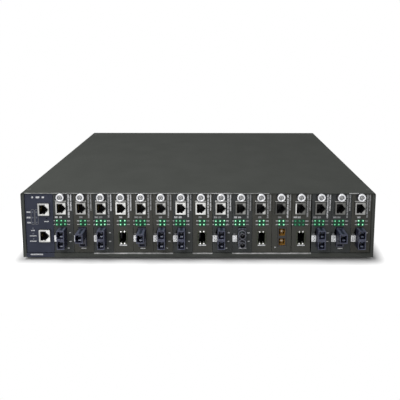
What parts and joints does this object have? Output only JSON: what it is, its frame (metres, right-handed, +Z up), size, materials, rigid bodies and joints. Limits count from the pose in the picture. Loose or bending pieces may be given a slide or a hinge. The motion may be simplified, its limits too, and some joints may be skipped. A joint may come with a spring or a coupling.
{
  "type": "media converter chassis",
  "caption": "Rack-width sheet-metal chassis with slide-in fibre-to-copper converter modules, captive thumb screws, hot-swap power supplies and rear fans.",
  "frame": {"origin": "middle of the whole box, on the surface that the feet stand on", "axes": "+X to the right seen from the front, -Y out of the front where the modules are, +Z up"},
  "size_m": [0.44, 0.338, 0.088],
  "materials": {
    "case_paint": "fine-textured dark grey powder coat",
    "faceplate_paint": "smooth satin dark grey paint",
    "panel_paint": "smooth satin blue-grey paint",
    "plated_steel": "nickel-plated sheet, softly brushed",
    "screw_steel": "turned and knurled, nickel-plated",
    "bay_steel": "bare zinc-plated sheet",
    "circuit_board": "green solder mask over glass laminate",
    "black_plastic": "fine-textured moulded black plastic",
    "rubber": "matt moulded rubber",
    "lamp_plastic": "clear moulded plastic, lit green"
  },
  "bodies": {
    "chassis": {"base_tray": "case_paint", "top_cover": "case_paint", "front_frame": "case_paint", "rear_panel": "case_paint", "rubber_feet": "rubber", "case_screws": "screw_steel", "lower_card_guide": "black_plastic", "upper_card_guide": "black_plastic", "backplane_board": "circuit_board", "slot_connectors": "black_plastic", "management_panel": "panel_paint", "management_board": "circuit_board", "management_jacks": "plated_steel", "management_lamps": "lamp_plastic", "power_bays": "bay_steel", "power_dock": "circuit_board", "fan_frame_1": "black_plastic", "fan_frame_2": "black_plastic", "fan_guards": "plated_steel"},
    "reset_button": {"reset_button": "black_plastic"},
    "converter_01": {"converter_01": "faceplate_paint"},
    "thumb_screw_01": {"thumb_screw_01": "screw_steel"},
    "converter_02": {"converter_02": "faceplate_paint"},
    "thumb_screw_02": {"thumb_screw_02": "screw_steel"},
    "converter_03": {"converter_03": "faceplate_paint"},
    "thumb_screw_03": {"thumb_screw_03": "screw_steel"},
    "converter_04": {"converter_04": "faceplate_paint"},
    "thumb_screw_04": {"thumb_screw_04": "screw_steel"},
    "converter_05": {"converter_05": "faceplate_paint"},
    "thumb_screw_05": {"thumb_screw_05": "screw_steel"},
    "converter_06": {"converter_06": "faceplate_paint"},
    "thumb_screw_06": {"thumb_screw_06": "screw_steel"},
    "converter_07": {"converter_07": "faceplate_paint"},
    "thumb_screw_07": {"thumb_screw_07": "screw_steel"},
    "converter_08": {"converter_08": "faceplate_paint"},
    "thumb_screw_08": {"thumb_screw_08": "screw_steel"},
    "converter_09": {"converter_09": "faceplate_paint"},
    "thumb_screw_09": {"thumb_screw_09": "screw_steel"},
    "converter_10": {"converter_10": "faceplate_paint"},
    "thumb_screw_10": {"thumb_screw_10": "screw_steel"},
    "converter_11": {"converter_11": "faceplate_paint"},
    "thumb_screw_11": {"thumb_screw_11": "screw_steel"},
    "converter_12": {"converter_12": "faceplate_paint"},
    "thumb_screw_12": {"thumb_screw_12": "screw_steel"},
    "converter_13": {"converter_13": "faceplate_paint"},
    "thumb_screw_13": {"thumb_screw_13": "screw_steel"},
    "converter_14": {"converter_14": "faceplate_paint"},
    "thumb_screw_14": {"thumb_screw_14": "screw_steel"},
    "converter_15": {"converter_15": "faceplate_paint"},
    "thumb_screw_15": {"thumb_screw_15": "screw_steel"},
    "converter_16": {"converter_16": "faceplate_paint"},
    "thumb_screw_16": {"thumb_screw_16": "screw_steel"},
    "power_supply_1": {"power_supply_1": "bay_steel", "power_inlet_1": "black_plastic"},
    "power_switch_1": {"power_switch_1": "black_plastic"},
    "fan_rotor_1": {"fan_rotor_1": "black_plastic"},
    "power_supply_2": {"power_supply_2": "bay_steel", "power_inlet_2": "black_plastic"},
    "power_switch_2": {"power_switch_2": "black_plastic"},
    "fan_rotor_2": {"fan_rotor_2": "black_plastic"}
  },
  "joints": [
    {"name": "converter_01_slide", "type": "slide", "parent": "chassis", "child": "converter_01", "axis": [0, -1, 0], "range_m": [0, 0.11]},
    {"name": "thumb_screw_01_turn", "type": "hinge", "parent": "converter_01", "child": "thumb_screw_01", "pos_m": [-0.1704, -0.155, 0.083], "axis": [0, -1, 0], "continuous": true},
    {"name": "converter_02_slide", "type": "slide", "parent": "chassis", "child": "converter_02", "axis": [0, -1, 0], "range_m": [0, 0.11]},
    {"name": "thumb_screw_02_turn", "type": "hinge", "parent": "converter_02", "child": "thumb_screw_02", "pos_m": [-0.1456, -0.155, 0.083], "axis": [0, -1, 0], "continuous": true},
    {"name": "converter_03_slide", "type": "slide", "parent": "chassis", "child": "converter_03", "axis": [0, -1, 0], "range_m": [0, 0.11]},
    {"name": "thumb_screw_03_turn", "type": "hinge", "parent": "converter_03", "child": "thumb_screw_03", "pos_m": [-0.1208, -0.155, 0.083], "axis": [0, -1, 0], "continuous": true},
    {"name": "converter_04_slide", "type": "slide", "parent": "chassis", "child": "converter_04", "axis": [0, -1, 0], "range_m": [0, 0.11]},
    {"name": "thumb_screw_04_turn", "type": "hinge", "parent": "converter_04", "child": "thumb_screw_04", "pos_m": [-0.096, -0.155, 0.083], "axis": [0, -1, 0], "continuous": true},
    {"name": "converter_05_slide", "type": "slide", "parent": "chassis", "child": "converter_05", "axis": [0, -1, 0], "range_m": [0, 0.11]},
    {"name": "thumb_screw_05_turn", "type": "hinge", "parent": "converter_05", "child": "thumb_screw_05", "pos_m": [-0.0712, -0.155, 0.083], "axis": [0, -1, 0], "continuous": true},
    {"name": "converter_06_slide", "type": "slide", "parent": "chassis", "child": "converter_06", "axis": [0, -1, 0], "range_m": [0, 0.11]},
    {"name": "thumb_screw_06_turn", "type": "hinge", "parent": "converter_06", "child": "thumb_screw_06", "pos_m": [-0.0464, -0.155, 0.083], "axis": [0, -1, 0], "continuous": true},
    {"name": "converter_07_slide", "type": "slide", "parent": "chassis", "child": "converter_07", "axis": [0, -1, 0], "range_m": [0, 0.11]},
    {"name": "thumb_screw_07_turn", "type": "hinge", "parent": "converter_07", "child": "thumb_screw_07", "pos_m": [-0.0216, -0.155, 0.083], "axis": [0, -1, 0], "continuous": true},
    {"name": "converter_08_slide", "type": "slide", "parent": "chassis", "child": "converter_08", "axis": [0, -1, 0], "range_m": [0, 0.11]},
    {"name": "thumb_screw_08_turn", "type": "hinge", "parent": "converter_08", "child": "thumb_screw_08", "pos_m": [0.0032, -0.155, 0.083], "axis": [0, -1, 0], "continuous": true},
    {"name": "converter_09_slide", "type": "slide", "parent": "chassis", "child": "converter_09", "axis": [0, -1, 0], "range_m": [0, 0.11]},
    {"name": "thumb_screw_09_turn", "type": "hinge", "parent": "converter_09", "child": "thumb_screw_09", "pos_m": [0.028, -0.155, 0.083], "axis": [0, -1, 0], "continuous": true},
    {"name": "converter_10_slide", "type": "slide", "parent": "chassis", "child": "converter_10", "axis": [0, -1, 0], "range_m": [0, 0.11]},
    {"name": "thumb_screw_10_turn", "type": "hinge", "parent": "converter_10", "child": "thumb_screw_10", "pos_m": [0.0528, -0.155, 0.083], "axis": [0, -1, 0], "continuous": true},
    {"name": "converter_11_slide", "type": "slide", "parent": "chassis", "child": "converter_11", "axis": [0, -1, 0], "range_m": [0, 0.11]},
    {"name": "thumb_screw_11_turn", "type": "hinge", "parent": "converter_11", "child": "thumb_screw_11", "pos_m": [0.0776, -0.155, 0.083], "axis": [0, -1, 0], "continuous": true},
    {"name": "converter_12_slide", "type": "slide", "parent": "chassis", "child": "converter_12", "axis": [0, -1, 0], "range_m": [0, 0.11]},
    {"name": "thumb_screw_12_turn", "type": "hinge", "parent": "converter_12", "child": "thumb_screw_12", "pos_m": [0.1024, -0.155, 0.083], "axis": [0, -1, 0], "continuous": true},
    {"name": "converter_13_slide", "type": "slide", "parent": "chassis", "child": "converter_13", "axis": [0, -1, 0], "range_m": [0, 0.11]},
    {"name": "thumb_screw_13_turn", "type": "hinge", "parent": "converter_13", "child": "thumb_screw_13", "pos_m": [0.1272, -0.155, 0.083], "axis": [0, -1, 0], "continuous": true},
    {"name": "converter_14_slide", "type": "slide", "parent": "chassis", "child": "converter_14", "axis": [0, -1, 0], "range_m": [0, 0.11]},
    {"name": "thumb_screw_14_turn", "type": "hinge", "parent": "converter_14", "child": "thumb_screw_14", "pos_m": [0.152, -0.155, 0.083], "axis": [0, -1, 0], "continuous": true},
    {"name": "converter_15_slide", "type": "slide", "parent": "chassis", "child": "converter_15", "axis": [0, -1, 0], "range_m": [0, 0.11]},
    {"name": "thumb_screw_15_turn", "type": "hinge", "parent": "converter_15", "child": "thumb_screw_15", "pos_m": [0.1768, -0.155, 0.083], "axis": [0, -1, 0], "continuous": true},
    {"name": "converter_16_slide", "type": "slide", "parent": "chassis", "child": "converter_16", "axis": [0, -1, 0], "range_m": [0, 0.11]},
    {"name": "thumb_screw_16_turn", "type": "hinge", "parent": "converter_16", "child": "thumb_screw_16", "pos_m": [0.2016, -0.155, 0.083], "axis": [0, -1, 0], "continuous": true},
    {"name": "reset_button_press", "type": "slide", "parent": "chassis", "child": "reset_button", "axis": [0, 1, 0], "range_m": [0, 0.0008], "stiffness_N_per_m": 1500},
    {"name": "power_supply_1_slide", "type": "slide", "parent": "chassis", "child": "power_supply_1", "axis": [0, 1, 0], "range_m": [0, 0.17]},
    {"name": "power_switch_1_rock", "type": "hinge", "parent": "power_supply_1", "child": "power_switch_1", "pos_m": [-0.1815, 0.145, 0.063], "axis": [-1, 0, 0], "range_deg": [0, 18]},
    {"name": "fan_rotor_1_spin", "type": "hinge", "parent": "chassis", "child": "fan_rotor_1", "pos_m": [-0.032, 0.13, 0.046], "axis": [0, 1, 0], "continuous": true},
    {"name": "power_supply_2_slide", "type": "slide", "parent": "chassis", "child": "power_supply_2", "axis": [0, 1, 0], "range_m": [0, 0.17]},
    {"name": "power_switch_2_rock", "type": "hinge", "parent": "power_supply_2", "child": "power_switch_2", "pos_m": [0.1205, 0.145, 0.063], "axis": [-1, 0, 0], "range_deg": [0, 18]},
    {"name": "fan_rotor_2_spin", "type": "hinge", "parent": "chassis", "child": "fan_rotor_2", "pos_m": [0.032, 0.13, 0.046], "axis": [0, 1, 0], "continuous": true}
  ]
}
